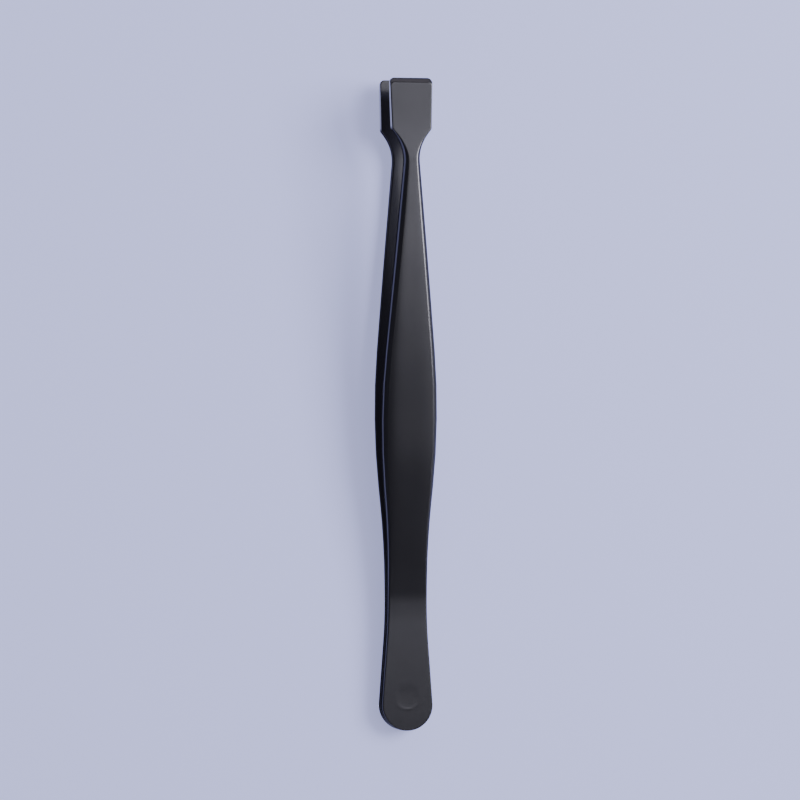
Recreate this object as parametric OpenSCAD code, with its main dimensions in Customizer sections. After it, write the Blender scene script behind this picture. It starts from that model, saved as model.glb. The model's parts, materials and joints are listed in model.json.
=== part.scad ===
// Spade-tip precision tweezers: two spring-steel arms welded face to face at the heel.
// The arms are shown relaxed, lying on the rear arm with the front arm uppermost.
// +Y runs from the heel to the tips, +X across the arms, +Z up, and z = 0 is the bench.

/* [Overall] */
// Length from the heel end to the tips
total_l = 120; // [118:0.5:124]
// Clearance cut across each arm at its flexing section
flex_slit = 0.08; // [0.06:0.01:0.2]
// Distance of the flexing section from the heel end
flex_y = 27; // [26:0.5:28]

/* [Heel] */
// Width across the rounded heel
heel_w = 9.5; // [9:0.1:10]
// Thickness of each arm at the heel
heel_t = 1.6; // [1.4:0.1:1.8]
// Diameter of the weld nuggets between the arms
nugget_d = 3.2; // [2:0.2:4]
// How far a nugget reaches into each arm
nugget_depth = 0.5; // [0.3:0.05:0.7]
// Diameter of the round electrode mark on each outer face
weld_mark_d = 4.4; // [3:0.2:5]
// Depth of the electrode mark
weld_mark_depth = 0.03; // [0.02:0.01:0.1]

/* [Arms] */
// Width of the waist behind the grip
waist_w = 7.4; // [7:0.1:8]
// Width where the straight flanks of the grip would meet
grip_flank_w = 11.44; // [10.6:0.02:11.6]
// Distance of that meeting point from the heel end
grip_y = 57.3; // [55.3:0.5:59.3]
// Half of the gap between the relaxed arms at the neck
neck_gap = 4.12; // [3.9:0.02:4.3]
// Thickness of each arm at the neck
neck_t = 1.8; // [1.7:0.05:2]

/* [Spade tips] */
// Width at the tips
tip_w = 8.05; // [7.5:0.05:8.5]
// Width at the shoulders
shoulder_w = 7.5; // [7:0.05:8]
// Length of the flat spade
tip_l = 9.4; // [8.5:0.1:10]
// Half of the gap between the gripping faces of the relaxed spades
tip_gap = 3.6; // [3.4:0.05:3.7]
// Thickness of a spade at its end, before its gripping face is eased
tip_t = 1; // [0.9:0.05:1.1]
// How far the gripping face is eased away at the end
tip_ease = 0.28; // [0.1:0.02:0.3]
// Thickness left at the very edge by the end bevel
tip_edge_t = 0.3; // [0.2:0.05:0.4]
// Length of the end bevel
tip_bevel = 0.95; // [0.6:0.05:1.2]

/* [Hidden] */
coat_dark = [0.13, 0.13, 0.14];
coat_light = [0.22, 0.22, 0.24];
nugget_grey = [0.62, 0.62, 0.64];
station_step = 3.6;      // longest stretch between two cross-sections
arc_step = 8;            // largest turn between two points of an arc, in degrees
min_face_x = 0.05;       // half width of the outer face where it begins at the heel end
weld_ys = [6.3, 14.5];   // distances of the weld nuggets from the heel end
neck_half_w = 1.24;      // half width at the corner where the taper meets the spade shoulder
shoulder_lift = 0.2;     // how far the inner face stands back at the shoulders from its line at the tips
ease_past_tips = 1.43;   // easing 2 mm past the tips, in shares of tip_ease
drop_past_tips = 0.28;   // fall of the outer face over the 4 mm past the tips

// Corners of the right half of an arm in plan: [half width, distance from heel, blend radius].
corners = [
    [heel_w * 0.54, 0, heel_w * 0.495],
    [waist_w / 2, 19.8, 100],
    [waist_w / 2, 34.6, 160],
    [grip_flank_w / 2, grip_y, 140],
    [neck_half_w, total_l - 12.7, 8],
    [shoulder_w / 2, total_l - tip_l, 0.7],
    [tip_w / 2, total_l, 0.9],
    [0, total_l, 0]
];

// Profiles along an arm: [distance from heel, value]. The last points of the first two lie past the
// tips, so that both faces are still sloping where the spade ends.
inner_face = [
    [0, 0], [22, 0], [flex_y, 0.25], [35, 0.92], [42, 1.5],
    [50, 2.05], [60, 2.6], [70, 3.1], [80, 3.52], [92, 3.92],
    [total_l - 17, neck_gap], [total_l - 9.5, tip_gap + shoulder_lift],
    [total_l - 3.5, tip_gap], [total_l + 2, tip_gap + ease_past_tips * tip_ease]
];
outer_face = [
    [0, heel_t], [20, heel_t], [24, heel_t + 0.05], [flex_y, 1.83], [35, 2.45], [42, 3.0],
    [50, 3.62], [60, 4.22], [70, 4.8], [80, 5.3], [92, 5.74],
    [total_l - 16, neck_gap + neck_t], [total_l - 11.5, 5.45], [total_l - 8, 5.12],
    [total_l, tip_gap + tip_t], [total_l + 4, tip_gap + tip_t - drop_past_tips]
];
bevel_width = [
    [0, 0.17], [20, 0.26], [40, 0.6], [60, 0.86], [79, 0.88], [90, 0.85],
    [total_l - 15, 0.67], [total_l - 9.5, 0.2], [total_l, 0.17]
];
bevel_drop = [
    [0, 0.16], [20, 0.23], [40, 0.53], [57, 0.7], [90, 0.62],
    [total_l - 14, 0.58], [total_l - 9.5, 0.15], [total_l, 0.12]
];

// Lying on the rear arm, the tool touches the bench at the heel end and where the bowed outer face
// is proudest, between the grip and the neck.
heel_bevel = bevel_width[0][1];
rest_tilt = max([for (y = [total_l / 2:0.25:total_l]) atan((outer_z(y) - heel_t) / (y - heel_bevel))]);
rest_lift = heel_t * cos(rest_tilt) - heel_bevel * sin(rest_tilt);
heel_end_y = -(heel_t - bevel_drop[0][1]) * sin(rest_tilt);
tip_end_y = total_l * cos(rest_tilt) + (inner_z(total_l) + tip_edge_t) * sin(rest_tilt);

// Monotone cubic curve through the points of a profile.
function span_of(y, k, i = 0) = i >= len(k) - 2 || y < k[i + 1][0] ? i : span_of(y, k, i + 1);
function rise(k, i) = (k[i + 1][1] - k[i][1]) / (k[i + 1][0] - k[i][0]);
function slope(k, i) =
    i == 0 || i == len(k) - 1 ? 0 :
    rise(k, i - 1) * rise(k, i) <= 0 ? 0 :
    2 * rise(k, i - 1) * rise(k, i) / (rise(k, i - 1) + rise(k, i));
function curve(y, k) =
    let (i = span_of(y, k), d = k[i + 1][0] - k[i][0], u = (y - k[i][0]) / d)
    k[i][1] * (2 * pow(u, 3) - 3 * pow(u, 2) + 1)
    + d * slope(k, i) * (pow(u, 3) - 2 * pow(u, 2) + u)
    + k[i + 1][1] * (3 * pow(u, 2) - 2 * pow(u, 3))
    + d * slope(k, i + 1) * (pow(u, 3) - pow(u, 2));
function inner_z(y) = curve(y, inner_face);
function outer_z(y) = curve(y, outer_face);

// Blends corner i of the plan with an arc, giving points [x, y, outward normal x, y].
function unit(v) = v / norm(v);
function corner_xy(i) = [corners[i][0], corners[i][1]];
function corner_arc(i) =
    let (
        from = i == 0 ? [1, 0] : unit(corner_xy(i) - corner_xy(i - 1)),
        to = unit(corner_xy(i + 1) - corner_xy(i)),
        turn = asin(from[0] * to[1] - from[1] * to[0]),
        turn_all = from * to < 0 ? sign(turn) * 180 - turn : turn,
        r = corners[i][2],
        start = corner_xy(i) - from * r * tan(abs(turn_all) / 2),
        side = sign(turn_all),
        centre = start + side * r * [-from[1], from[0]],
        steps = max(4, ceil(abs(turn_all) / arc_step))
    )
    [for (s = [0:steps])
        let (a = turn_all * s / steps,
             d = [from[0] * cos(a) - from[1] * sin(a), from[0] * sin(a) + from[1] * cos(a)])
        [centre[0] + side * r * d[1], centre[1] - side * r * d[0], d[1], -d[0]]];
half_plan = [for (i = [0:len(corners) - 2]) each corner_arc(i)];

// The stretch of the half plan between two distances, with extra stations on its long runs.
function refined(p) = concat([p[0]], [for (i = [1:len(p) - 1])
    let (n = max(1, ceil((p[i][1] - p[i - 1][1]) / station_step)))
    for (s = [1:n]) p[i - 1] + (p[i] - p[i - 1]) * s / n]);
function cut_at(y) = [lookup(y, [for (p = half_plan) [p[1], p[0]]]), y, 1, 0];
function stretch(y0, y1) = refined(concat(
    y0 > 0 ? [cut_at(y0)] : [],
    [for (p = half_plan) if (p[1] > y0 - (y0 > 0 ? 0 : 1) && p[1] < y1 + (y1 < total_l ? 0 : 1)) p],
    y1 < total_l ? [cut_at(y1)] : []));

// Cross-section at one plan point: inner edge, top of the side wall, edge of the outer face.
// The outer face stops short of the tips, where the end bevel takes the spade down to its thin edge.
function face_y(y) =
    let (from = total_l - 3 * tip_bevel, to = total_l - curve(total_l, bevel_width))
    y < from ? y : from + (y - from) * (total_l - tip_bevel - from) / (to - from);
function section(p) =
    let (
        inset = curve(p[1], bevel_width),
        face = [p[0] - inset * p[2], face_y(p[1] - inset * p[3])],
        full_t = outer_z(p[1]) - inner_z(p[1]),
        end_share = max(0, 1 - (total_l - p[1]) / tip_bevel),
        wall_z = outer_z(p[1]) - max(curve(p[1], bevel_drop), end_share * (full_t - tip_edge_t)),
        face_x = max(face[0], min_face_x)
    )
    [[p[0], p[1], inner_z(p[1])], [p[0], p[1], wall_z], [face_x, face[1], outer_z(face[1])],
     [-face_x, face[1], outer_z(face[1])], [-p[0], p[1], wall_z], [-p[0], p[1], inner_z(p[1])]];

// Solid between two distances from the heel, as a loft of the cross-sections.
module arm_stretch(y0, y1) {
    plan = stretch(y0, y1);
    ring = 6;
    last = ring * (len(plan) - 1);
    polyhedron(
        points = [for (p = plan) each section(p)],
        faces = concat(
            [[5, 4, 1, 0], [4, 3, 2, 1]],
            [for (i = [0:len(plan) - 2]) for (j = [0:ring - 1])
                let (a = ring * i + j, b = ring * i + (j + 1) % ring)
                each [[a, b + ring, a + ring], [a, b, b + ring]]],
            [[last, last + 1, last + 4, last + 5], [last + 1, last + 2, last + 3, last + 4]]));
}

// Lays the assembly on the bench, centred along Y.
module at_rest() {
    translate([0, -(tip_end_y + heel_end_y) / 2, rest_lift])
        rotate([rest_tilt, 0, 0])
            children();
}

module nugget_pockets() {
    for (y = weld_ys)
        translate([0, y, -nugget_depth])
            cylinder(d = nugget_d, h = 2 * nugget_depth, $fn = 48);
}

module electrode_mark() {
    ball_r = (pow(weld_mark_d / 2, 2) + pow(weld_mark_depth, 2)) / (2 * weld_mark_depth);
    translate([0, weld_ys[0], heel_t - weld_mark_depth + ball_r])
        sphere(r = ball_r, $fn = 96);
}

module arm_heel() {
    difference() {
        arm_stretch(0, flex_y - flex_slit / 2);
        nugget_pockets();
        electrode_mark();
    }
}

module arm_blade() {
    arm_stretch(flex_y + flex_slit / 2, total_l);
}

module front_heel() {
    color(coat_dark) at_rest() arm_heel();
}

module front_blade() {
    color(coat_light) at_rest() arm_blade();
}

module rear_heel() {
    color(coat_dark) at_rest() mirror([0, 0, 1]) arm_heel();
}

module rear_blade() {
    color(coat_light) at_rest() mirror([0, 0, 1]) arm_blade();
}

module weld_nuggets() {
    color(nugget_grey) at_rest() nugget_pockets();
}

front_heel();
front_blade();
rear_heel();
rear_blade();
weld_nuggets();
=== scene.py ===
"""Looks of the spade-tip precision tweezers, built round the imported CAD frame.

Shapes are worked out in millimetres in the tweezers' own axes: x across the arms, y from the heel end
towards the tips, and z up from the plane where the two heels meet. place() takes them to the frame.
"""

import json
import math

import bpy
from mathutils import Matrix, Vector


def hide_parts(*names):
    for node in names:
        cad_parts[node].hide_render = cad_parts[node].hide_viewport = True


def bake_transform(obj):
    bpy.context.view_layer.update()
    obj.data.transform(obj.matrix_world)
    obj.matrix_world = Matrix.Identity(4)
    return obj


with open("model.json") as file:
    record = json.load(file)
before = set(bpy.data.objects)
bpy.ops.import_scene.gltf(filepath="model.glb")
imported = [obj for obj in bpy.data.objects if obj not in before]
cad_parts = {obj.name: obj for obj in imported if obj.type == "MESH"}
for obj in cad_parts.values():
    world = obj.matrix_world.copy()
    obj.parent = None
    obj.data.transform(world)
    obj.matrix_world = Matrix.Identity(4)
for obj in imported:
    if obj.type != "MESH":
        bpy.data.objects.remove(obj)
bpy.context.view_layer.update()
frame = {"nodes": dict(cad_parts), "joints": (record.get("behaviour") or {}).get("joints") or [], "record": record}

MM = 0.001

# Driving dimensions, in millimetres
LENGTH = 120.0
FLEX_Y = 27.0            # distance of the flexing section from the heel end
HEEL_T = 1.6
NECK_T = 1.8
NECK_GAP = 4.12          # half of the gap between the arms at the neck
TIP_GAP = 3.6            # half of the gap between the spades
TIP_T = 1.0
TIP_EDGE_T = 0.3         # what the end bevel leaves at the very edge
TIP_BEVEL = 1.15         # length of the end bevel, before its edges are softened
EDGE_MIN_X = 0.02        # half width of the outer face where it begins at the heel end
HEEL_CONTACT = 0.006     # half of the hairline between the two heels
WELD_Y = 6.3
WELD_R = 2.2
WELD_DEPTH = 0.012
WELD_RIM = 0.006         # height of the raised rim round the mark
WELD_RIM_R = 1.06        # where the rim is, and how far it spreads, in radii of the mark
WELD_RIM_SPREAD = 0.09
LIP_SHARE = 0.72         # share of the inset that the bevel slopes across, before its edges are softened
LIP_REACH = (0.28, 0.35)     # how far the softened upper edge reaches: shares of the inset and the bevel
WALL_REACH = (0.55, 0.4)     # the same for the bevel's lower edge: shares of the bevel and the side wall
FOOT_REACH = 0.3             # and the most for the inner edge: share of the side wall

# Corners of the right half of an arm in plan: half width, distance from the heel end, blend radius
CORNERS = [
    (5.13, 0.0, 4.70),
    (3.70, 19.8, 100.0),
    (3.70, 34.6, 160.0),
    (5.72, 57.3, 140.0),
    (1.24, LENGTH - 12.7, 8.0),
    (3.75, LENGTH - 9.4, 0.7),
    (4.025, LENGTH, 0.9),
    (0.0, LENGTH, 0.0),
]

# Profiles along an arm: distance from the heel end, value
INNER = [
    (0, 0), (22, 0), (FLEX_Y, 0.25), (35, 0.92), (42, 1.5), (50, 2.05), (60, 2.6), (70, 3.1), (80, 3.52),
    (92, 3.92), (LENGTH - 17, NECK_GAP), (LENGTH - 9.5, TIP_GAP + 0.2),
    (LENGTH - 3.5, TIP_GAP), (LENGTH + 2, TIP_GAP + 0.4),
]
OUTER = [
    (0, HEEL_T), (20, HEEL_T), (24, HEEL_T + 0.05), (FLEX_Y, 1.83), (35, 2.45), (42, 3.0),
    (50, 3.62), (60, 4.22), (70, 4.8), (80, 5.3), (92, 5.74),
    (LENGTH - 16, NECK_GAP + NECK_T), (LENGTH - 11.5, 5.45), (LENGTH - 8, 5.12),
    (LENGTH, TIP_GAP + TIP_T), (LENGTH + 4, TIP_GAP + TIP_T - 0.28),
]
BEVEL_WIDTH = [
    (0, 0.2), (20, 0.3), (40, 0.7), (60, 1.02), (79, 1.05), (90, 1.02),
    (LENGTH - 15, 0.80), (LENGTH - 9.5, 0.24), (LENGTH, 0.2),
]
BEVEL_DROP = [
    (0, 0.16), (20, 0.22), (40, 0.45), (57, 0.55),
    (LENGTH - 14, 0.55), (LENGTH - 9.5, 0.15), (LENGTH, 0.12),
]
CROWN = [
    (0, 0), (20, 0.005), (40, 0.07), (55, 0.13), (70, 0.09),
    (85, 0.035), (104, 0.01), (LENGTH - 10, 0), (LENGTH, 0),
]
INNER_EDGE = [
    (0, 0.07), (60, 0.07), (84, 0.10), (104, 0.34), (LENGTH - 9.5, 0.16), (LENGTH, 0.12),
]

# Mesh density
STATION_STEP = 0.9       # longest stretch between two cross-sections
HEEL_STEP = 0.3          # the same round the weld mark
ARC_STEP = 4.0           # largest turn between two points of an arc, in degrees
COLUMNS = 28             # strips across each flat face
CORNER_SEGMENTS = 5      # segments in each softened edge


# ---------------------------------------------------------------- profiles and plan

def curve(profile):
    """A monotone cubic curve through the profile's points, as a function of the distance."""
    rise = [(b[1] - a[1]) / (b[0] - a[0]) for a, b in zip(profile, profile[1:])]
    inner = [2 * a * b / (a + b) if a * b > 0 else 0.0 for a, b in zip(rise, rise[1:])]
    slope = [0.0] + inner + [0.0]

    def value(y):
        i = 0
        while i < len(profile) - 2 and y >= profile[i + 1][0]:
            i += 1
        (y0, v0), (y1, v1) = profile[i], profile[i + 1]
        span = y1 - y0
        u = (y - y0) / span
        return (v0 * (2 * u**3 - 3 * u**2 + 1) + span * slope[i] * (u**3 - 2 * u**2 + u)
                + v1 * (3 * u**2 - 2 * u**3) + span * slope[i + 1] * (u**3 - u**2))

    return value


inner, outer_z = curve(INNER), curve(OUTER)
bevel_width, bevel_drop = curve(BEVEL_WIDTH), curve(BEVEL_DROP)
crown, inner_edge = curve(CROWN), curve(INNER_EDGE)


def inner_z(y):
    return max(inner(y), HEEL_CONTACT)


def face_edge_z(y):
    """Height of the outer face where it meets the bevels, below its middle by the crown."""
    return outer_z(y) - crown(y)


def plan_arc(before, corner, after, radius):
    """Points and outward normals of the arc that blends one corner of the plan."""
    into = (corner - before).normalized()
    out = (after - corner).normalized()
    turn = math.atan2(into.x * out.y - into.y * out.x, into.dot(out))
    start = corner - into * radius * math.tan(abs(turn) / 2)
    side = math.copysign(1.0, turn)
    centre = start + Vector((-into.y, into.x)) * side * radius
    steps = max(4, math.ceil(math.degrees(abs(turn)) / ARC_STEP))
    points = []
    for s in range(steps + 1):
        heading = Matrix.Rotation(turn * s / steps, 2) @ into
        normal = Vector((heading.y, -heading.x))
        points.append((centre + normal * side * radius, normal))
    return points


def half_plan():
    """The right edge of an arm from heel to tip, with stations close enough for the profiles."""
    spots = [Vector(c[:2]) for c in CORNERS]
    arcs = []
    for i in range(len(CORNERS) - 1):
        before = spots[i - 1] if i else spots[0] - Vector((1, 0))
        arcs += plan_arc(before, spots[i], spots[i + 1], CORNERS[i][2])
    stations = [arcs[0]]
    for (p0, n0), (p1, n1) in zip(arcs, arcs[1:]):
        step = HEEL_STEP if p1.y < WELD_Y + 2 * WELD_R else STATION_STEP
        count = max(1, math.ceil((p1.y - p0.y) / step))
        for s in range(1, count + 1):
            stations.append((p0.lerp(p1, s / count), n0.lerp(n1, s / count).normalized()))
    return stations


# ---------------------------------------------------------------- the arms

def soft_corner(before, corner, after, reach):
    """Points of a softened corner, from reach before it to reach after it."""
    a = corner + (before - corner).normalized() * reach
    b = corner + (after - corner).normalized() * reach
    points = []
    for s in range(CORNER_SEGMENTS + 1):
        u = s / CORNER_SEGMENTS
        points.append(a * (1 - u) ** 2 + corner * 2 * u * (1 - u) + b * u**2)
    return points


def face_y(y):
    """Where the outer face ends along y: it stops short of the tips, to leave room for the end bevel."""
    start = LENGTH - 3 * TIP_BEVEL
    end = LENGTH - bevel_width(LENGTH)
    return y if y < start else start + (y - start) * (LENGTH - TIP_BEVEL - start) / (end - start)


def edge_section(spot, normal):
    """One side of a cross-section, from the outer face round the edge to the inner face, in x, y, z."""
    y = spot.y
    inset = bevel_width(y)
    low, high = inner_z(y), face_edge_z(y)
    end_share = max(0.0, 1 - (LENGTH - y) / TIP_BEVEL)
    drop = max(bevel_drop(y), end_share * (high - low - TIP_EDGE_T))
    wall_top = high - drop
    # Corners of the edge: distance in from the outline, height
    face = Vector((inset, high))
    lip = Vector((LIP_SHARE * inset, high))
    wall = Vector((0, wall_top))
    foot = Vector((0, low))
    sole = Vector((inset, low))
    bevel_len = (lip - wall).length
    wall_len = wall_top - low
    outline = (
        soft_corner(face, lip, wall, min(LIP_REACH[0] * inset, LIP_REACH[1] * bevel_len))
        + soft_corner(lip, wall, foot, min(WALL_REACH[0] * bevel_len, WALL_REACH[1] * wall_len))
        + soft_corner(wall, foot, sole, min(inner_edge(y), FOOT_REACH * wall_len))
    )
    outer_step = Vector((spot.x - inset * normal.x, face_y(y - inset * normal.y))) - spot
    inner_step = -inset * normal
    points = []
    upper_points = 2 * (CORNER_SEGMENTS + 1)
    for k, (d, z) in enumerate(outline):
        step = outer_step if k < upper_points else inner_step
        flat = spot + step * (d / inset)
        if flat.y != y and z > wall_top:
            z += face_edge_z(flat.y) - high
        points.append(Vector((max(flat.x, EDGE_MIN_X), flat.y, z)))
    return points


def weld_mark(x, y):
    """Depth of the shallow round electrode mark, with a faint raised rim."""
    r = math.hypot(x, y - WELD_Y) / WELD_R
    bowl = WELD_DEPTH * max(0.0, 1 - r**2) ** 0.6
    rim = WELD_RIM * math.exp(-((r - WELD_RIM_R) / WELD_RIM_SPREAD) ** 2)
    return bowl - rim


def cross_section(spot, normal):
    """A closed loop: the outer face from left to right, the right edge, the inner face, the left edge."""
    right = edge_section(spot, normal)
    loop = []
    for c in range(COLUMNS + 1):
        t = 2 * c / COLUMNS - 1
        x, y = right[0].x * t, right[0].y
        loop.append(Vector((x, y, outer_z(y) - crown(y) * t**4 - weld_mark(x, y))))
    loop += right[1:-1]
    for c in range(COLUMNS, -1, -1):
        t = 2 * c / COLUMNS - 1
        loop.append(Vector((right[-1].x * t, right[-1].y, inner_z(right[-1].y))))
    loop += [Vector((-p.x, p.y, p.z)) for p in reversed(right[1:-1])]
    return loop


def end_cap(loop, first, first_extra):
    """Rows of vertex numbers that close a cross-section, column by column, and the vertices that adds."""
    size = len(loop)
    edge = (size - 2 * (COLUMNS + 1)) // 2
    rows = [[first + c for c in range(COLUMNS + 1)]]
    extra = []
    for k in range(edge):
        right, left = COLUMNS + 1 + k, size - 1 - k
        row = [first + left]
        for c in range(1, COLUMNS):
            extra.append(loop[left].lerp(loop[right], c / COLUMNS))
            row.append(first_extra + len(extra) - 1)
        rows.append(row + [first + right])
    inner_start = COLUMNS + 1 + edge
    rows.append([first + inner_start + COLUMNS - c for c in range(COLUMNS + 1)])
    return rows, extra


def arm_geometry():
    """Vertices in millimetres and faces of one arm, the upper one."""
    plan = half_plan()
    loops = [cross_section(p, n) for p, n in plan]
    size = len(loops[0])
    verts = [v for loop in loops for v in loop]
    faces = []
    for i in range(len(loops) - 1):
        for j in range(size):
            a, b = i * size + j, i * size + (j + 1) % size
            faces.append((a, b, b + size, a + size))
    for index, flip in ((0, True), (len(loops) - 1, False)):
        rows, extra = end_cap(loops[index], index * size, len(verts))
        verts += extra
        for top, bottom in zip(rows, rows[1:]):
            for c in range(COLUMNS):
                quad = (top[c], top[c + 1], bottom[c + 1], bottom[c])
                faces.append(tuple(reversed(quad)) if flip else quad)
    return verts, faces


# ---------------------------------------------------------------- from the tweezers' axes to the frame

joints = {j["child"]: Vector(j["pos_m"]) for j in frame["joints"]}
mounts = {m["name"]: Vector(m["axis"]) for m in frame["record"]["mounts"]}
arm_up = mounts["heel_face_front"].normalized()
arm_across = Vector((1, 0, 0))
arm_along = arm_up.cross(arm_across)
flex_centre = (joints["front_blade"] + joints["rear_blade"]) / 2


def place(x, y, z):
    """A point in the tweezers' own axes, in millimetres, taken to the frame, in metres."""
    return flex_centre + (arm_across * x + arm_along * (y - FLEX_Y) + arm_up * z) * MM


def build_arm(name, side):
    """One arm as a mesh object; side is 1 for the front arm and -1 for its mirror image."""
    verts, faces = arm_geometry()
    if side < 0:
        faces = [tuple(reversed(f)) for f in faces]
    mesh = bpy.data.meshes.new(name)
    mesh.from_pydata([place(v.x, v.y, side * v.z) for v in verts], [], faces)
    own = mesh.attributes.new("own_mm", "FLOAT_VECTOR", "POINT")
    own.data.foreach_set("vector", [c for v in verts for c in (v.x, v.y, side * v.z)])
    mesh.polygons.foreach_set("use_smooth", [True] * len(mesh.polygons))
    mesh.validate()
    mesh.update()
    arm = bpy.data.objects.new(name, mesh)
    bpy.context.scene.collection.objects.link(arm)
    weighted = arm.modifiers.new("flat faces stay flat", "WEIGHTED_NORMAL")
    weighted.mode = "FACE_AREA"
    weighted.keep_sharp = True
    return arm


# ---------------------------------------------------------------- materials

def node(tree, kind, place_at, **inputs):
    made = tree.nodes.new(kind)
    made.location = place_at
    for key, value in inputs.items():
        made.inputs[key.replace("_", " ")].default_value = value
    return made


def maths(tree, place_at, operation):
    made = tree.nodes.new("ShaderNodeMath")
    made.location = place_at
    made.operation = operation
    return made


def map_range(tree, place_at, source, from_range, to_range=(0.0, 1.0)):
    """Maps what comes out of source from one range to another, held at its ends."""
    made = tree.nodes.new("ShaderNodeMapRange")
    made.location = place_at
    made.inputs["From Min"].default_value, made.inputs["From Max"].default_value = from_range
    made.inputs["To Min"].default_value, made.inputs["To Max"].default_value = to_range
    tree.links.new(source, made.inputs["Value"])
    return made


def colour_mix(tree, place_at, a, b):
    made = tree.nodes.new("ShaderNodeMix")
    made.location = place_at
    made.data_type = "RGBA"
    made.inputs["A"].default_value = a
    made.inputs["B"].default_value = b
    return made


COAT_DARK = (0.090, 0.089, 0.102, 1)
COAT_LIGHT = (0.108, 0.107, 0.120, 1)
COAT_EDGE_TINT = (0.14, 0.14, 0.13, 1)      # keeps the coat dark at grazing angles
COAT_ROUGHNESS = (0.19, 0.27)
COAT_PAINTED_GLOW = (0.70, 0.66, 1.0, 1)            # painted glow: an even emission that lifts the darkest shade of the coat
COAT_PAINTED_GLOW_STRENGTH = 0.007
# Lighter steel colour and tint for the spade side walls: a painted highlight, so that these walls shine
PAINTED_HIGHLIGHT_STEEL = (0.48, 0.48, 0.47, 1)
PAINTED_HIGHLIGHT_TINT = (0.9, 0.9, 0.9, 1)
SIDEWAYS = (0.8, 0.97)                      # sideways part of the normal on a side wall
SPADE_WALLS_Y = (LENGTH - 9.6, LENGTH - 8.9)        # the painted highlight fades in between these distances
RELIEF_HEIGHT = 0.00001                     # metres


def painted_highlight_walls(tree, spot):
    """A mask, 1 on the side walls of the spades, where lighter steel is painted in as a highlight, and 0
    elsewhere.
    """
    shape = node(tree, "ShaderNodeNewGeometry", (-900, 700))
    facing = node(tree, "ShaderNodeSeparateXYZ", (-700, 700))
    tree.links.new(shape.outputs["Normal"], facing.inputs["Vector"])
    sideways = maths(tree, (-500, 700), "ABSOLUTE")
    tree.links.new(facing.outputs["X"], sideways.inputs[0])
    walls = map_range(tree, (-300, 700), sideways.outputs["Value"], SIDEWAYS)
    along = node(tree, "ShaderNodeSeparateXYZ", (-700, 500))
    tree.links.new(spot.outputs["Vector"], along.inputs["Vector"])
    spade = map_range(tree, (-300, 500), along.outputs["Y"], SPADE_WALLS_Y)
    highlight_mask = maths(tree, (-100, 600), "MULTIPLY")
    tree.links.new(walls.outputs["Result"], highlight_mask.inputs[0])
    tree.links.new(spade.outputs["Result"], highlight_mask.inputs[1])
    return highlight_mask


def coat_surface(tree, spot, shader):
    """Grain in the gloss of the coat and a fine relief of peel and grain."""
    link = tree.links.new
    peel = node(tree, "ShaderNodeTexNoise", (-600, 0), Scale=4.5, Detail=2.0, Roughness=0.45)
    grain = node(tree, "ShaderNodeTexNoise", (-600, -250), Scale=14.0, Detail=2.0, Roughness=0.6)
    link(spot.outputs["Vector"], peel.inputs["Vector"])
    link(spot.outputs["Vector"], grain.inputs["Vector"])
    gloss = map_range(tree, (-200, 0), grain.outputs["Fac"], (0.3, 0.7), COAT_ROUGHNESS)
    link(gloss.outputs["Result"], shader.inputs["Roughness"])
    relief = maths(tree, (-400, -200), "MULTIPLY_ADD")
    link(grain.outputs["Fac"], relief.inputs[0])
    relief.inputs[1].default_value = 0.25
    link(peel.outputs["Fac"], relief.inputs[2])
    bump = node(tree, "ShaderNodeBump", (300, -250), Strength=0.25, Distance=RELIEF_HEIGHT)
    link(relief.outputs["Value"], bump.inputs["Height"])
    link(bump.outputs["Normal"], shader.inputs["Normal"])


def black_coat():
    mat = bpy.data.materials.new("black_coat")
    mat.use_nodes = True
    tree = mat.node_tree
    tree.nodes.clear()
    link = tree.links.new
    out = node(tree, "ShaderNodeOutputMaterial", (900, 0))
    shader = node(tree, "ShaderNodeBsdfPrincipled", (600, 0))
    link(shader.outputs["BSDF"], out.inputs["Surface"])
    spot = node(tree, "ShaderNodeAttribute", (-900, 0))
    spot.attribute_name = "own_mm"

    mottle = node(tree, "ShaderNodeTexNoise", (-600, 300), Scale=0.22, Detail=3.0, Roughness=0.5)
    link(spot.outputs["Vector"], mottle.inputs["Vector"])
    tint = colour_mix(tree, (-200, 300), COAT_DARK, COAT_LIGHT)
    link(mottle.outputs["Fac"], tint.inputs["Factor"])
    # painted highlight: lighter steel colour and tint on the spade side walls
    highlight_mask = painted_highlight_walls(tree, spot)
    highlit_colour = colour_mix(tree, (100, 400), COAT_DARK, PAINTED_HIGHLIGHT_STEEL)
    link(highlight_mask.outputs["Value"], highlit_colour.inputs["Factor"])
    link(tint.outputs["Result"], highlit_colour.inputs["A"])
    link(highlit_colour.outputs["Result"], shader.inputs["Base Color"])
    sheen = colour_mix(tree, (100, 150), COAT_EDGE_TINT, PAINTED_HIGHLIGHT_TINT)
    link(highlight_mask.outputs["Value"], sheen.inputs["Factor"])
    link(sheen.outputs["Result"], shader.inputs["Specular Tint"])
    coat_surface(tree, spot, shader)
    shader.inputs["Metallic"].default_value = 1.0
    # painted light: a faint even glow on the coat lifts its darkest shade
    shader.inputs["Emission Color"].default_value = COAT_PAINTED_GLOW
    shader.inputs["Emission Strength"].default_value = COAT_PAINTED_GLOW_STRENGTH
    return mat


def bare_steel():
    mat = bpy.data.materials.new("bare_steel")
    mat.use_nodes = True
    tree = mat.node_tree
    shader = tree.nodes["Principled BSDF"]
    shader.inputs["Metallic"].default_value = 1.0
    grain = node(tree, "ShaderNodeTexNoise", (-600, 0), Scale=2500.0, Detail=3.0)
    gloss = map_range(tree, (-300, 0), grain.outputs["Fac"], (0.0, 1.0), (0.35, 0.6))
    tree.links.new(gloss.outputs["Result"], shader.inputs["Roughness"])
    shader.inputs["Base Color"].default_value = (0.52, 0.52, 0.53, 1)
    return mat


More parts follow.
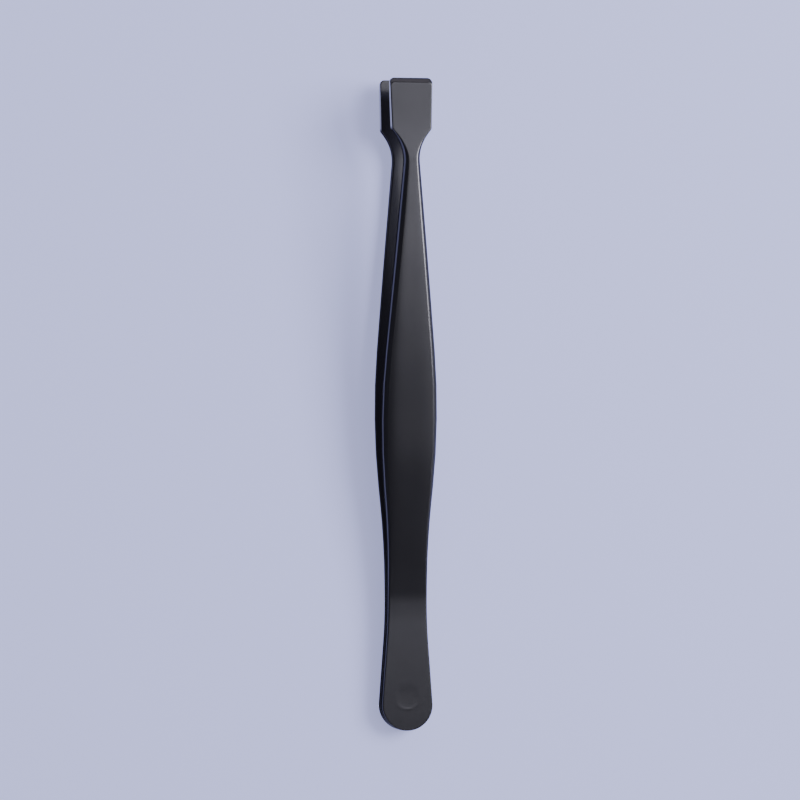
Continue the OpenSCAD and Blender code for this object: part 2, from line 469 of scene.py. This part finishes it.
def floor_paint():
    mat = bpy.data.materials.new("floor_paint")
    mat.use_nodes = True
    tree = mat.node_tree
    shader = tree.nodes["Principled BSDF"]
    shader.inputs["Base Color"].default_value = (0.50, 0.53, 0.97, 1)
    shader.inputs["Roughness"].default_value = 0.9
    shader.inputs["Emission Color"].default_value = (0.57, 0.60, 1.0, 1)
    shader.inputs["Emission Strength"].default_value = 0.70
    return mat


# ---------------------------------------------------------------- pieces

coat = black_coat()
for arm_name, blade, heel, side in (
    ("front_arm", "front_blade", "front_heel", 1),
    ("rear_arm", "rear_blade", "rear_heel", -1),
):
    arm = build_arm(arm_name, side)
    arm.data.materials.append(coat)
    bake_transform(arm)
    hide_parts(heel, blade)

nuggets = frame["nodes"]["weld_nuggets"]
nuggets.data.materials.clear()
nuggets.data.materials.append(bare_steel())

# ---------------------------------------------------------------- floor, lights and camera

FLOOR_HALF = 2.5         # metres
FLOOR_DROP = 0.00002     # metres below the tool, so that the two never share a plane


def build_floor():
    corners = ((-1, -1), (1, -1), (1, 1), (-1, 1))
    mesh = bpy.data.meshes.new("floor")
    mesh.from_pydata([(x * FLOOR_HALF, y * FLOOR_HALF, -FLOOR_DROP) for x, y in corners], [], [(0, 1, 2, 3)])
    made = bpy.data.objects.new("floor", mesh)
    mesh.materials.append(floor_paint())
    bpy.context.scene.collection.objects.link(made)
    return made


floor = build_floor()


def area_light(name, where, look_at, size_x, size_y, watts, colour=(1, 1, 1)):
    data = bpy.data.lights.new(name, "AREA")
    data.shape = "RECTANGLE"
    data.size, data.size_y = size_x, size_y
    data.energy = watts
    data.color = colour
    lamp = bpy.data.objects.new(name, data)
    lamp.location = where
    lamp.rotation_mode = "QUATERNION"
    lamp.rotation_quaternion = (Vector(look_at) - Vector(where)).to_track_quat("-Z", "Y")
    bpy.context.scene.collection.objects.link(lamp)


# The overhead softbox is four strips side by side: start and end along y, and brightness
OVERHEAD_STRIPS = ((-0.165, 0.08, 1.02), (0.08, 0.22, 0.92), (0.22, 0.36, 0.55), (0.36, 0.55, 1.35))
OVERHEAD_X = 0.50
OVERHEAD_HEIGHT = 1.5
OVERHEAD_WIDTH = 0.59
OVERHEAD_WATTS = 4.27            # per square metre, at a brightness of 1
COOL_WHITE = (0.97, 0.97, 1.0)
WARM_WHITE = (1.0, 0.86, 0.76)


def overhead_softbox():
    for strip, (start, end, brightness) in enumerate(OVERHEAD_STRIPS):
        middle = (start + end) / 2
        watts = OVERHEAD_WATTS * OVERHEAD_WIDTH * (end - start) * brightness
        area_light(
            f"overhead_{strip}", (OVERHEAD_X, middle, OVERHEAD_HEIGHT), (OVERHEAD_X, middle, 0),
            OVERHEAD_WIDTH, end - start, watts, COOL_WHITE)


overhead_softbox()
area_light("right", (0.57, 0.21, 0.57), (0, 0.0, 0), 0.49, 0.45, 6.2)
area_light("behind", (0.1, 1.1, 0.75), (0, 0.05, 0), 0.8, 0.5, 0.45, WARM_WHITE)

CEILING_Z = (0.85, 0.60)         # upward part of a direction, from the ceiling to the surround
LEFT_X = (-0.80, -0.45)          # sideways part of a direction, from the dark side inwards
WORLD_STRENGTH = (0.05, 0.45)
WORLD_COLOUR = (0.80, 0.81, 0.95, 1)


def studio_world():
    """A dark ceiling over a brighter surround, with the side beyond the left edges of the arms kept dark."""
    world = bpy.data.worlds.new("studio")
    world.use_nodes = True
    tree = world.node_tree
    link = tree.links.new
    direction = node(tree, "ShaderNodeTexCoord", (-900, 0))
    axis = node(tree, "ShaderNodeSeparateXYZ", (-700, 0))
    link(direction.outputs["Generated"], axis.inputs["Vector"])
    surround = map_range(tree, (-500, 150), axis.outputs["Z"], CEILING_Z)
    surround.interpolation_type = "SMOOTHSTEP"
    lit_side = map_range(tree, (-500, -150), axis.outputs["X"], LEFT_X)
    lit_side.interpolation_type = "SMOOTHSTEP"
    both = maths(tree, (-300, 0), "MULTIPLY")
    link(surround.outputs["Result"], both.inputs[0])
    link(lit_side.outputs["Result"], both.inputs[1])
    strength = map_range(tree, (-150, 0), both.outputs["Value"], (0.0, 1.0), WORLD_STRENGTH)
    back = tree.nodes["Background"]
    back.inputs["Color"].default_value = WORLD_COLOUR
    link(strength.outputs["Result"], back.inputs["Strength"])
    return world


bpy.context.scene.world = studio_world()

YAW = math.radians(13.0)         # the camera stands this far to the left of the arms' own normal
CAMERA_DISTANCE = 0.9            # metres
VIEW_WIDTH = 147.4 * MM          # what the picture covers at that distance, in metres
SENSOR = 36.0                    # millimetres
AIM_X = -1.07                    # where the camera aims, in millimetres in the tweezers' own axes
AIM_Y = LENGTH / 2 + 0.87


def photo_camera():
    """The camera, upright along the arms, looking at them from YAW to the left of their normal."""
    towards = (arm_up * math.cos(YAW) - arm_across * math.sin(YAW)).normalized()
    right_axis = arm_along.cross(towards).normalized()
    up_axis = towards.cross(right_axis)
    data = bpy.data.cameras.new("camera")
    data.sensor_width = SENSOR
    data.lens = SENSOR * CAMERA_DISTANCE / VIEW_WIDTH
    data.clip_start = 0.01
    data.clip_end = 20.0
    made = bpy.data.objects.new("camera", data)
    turn = Matrix((right_axis, up_axis, towards)).transposed().to_4x4()
    made.matrix_world = Matrix.Translation(place(AIM_X, AIM_Y, 0) + towards * CAMERA_DISTANCE) @ turn
    bpy.context.scene.collection.objects.link(made)
    return made


bpy.context.scene.camera = photo_camera()
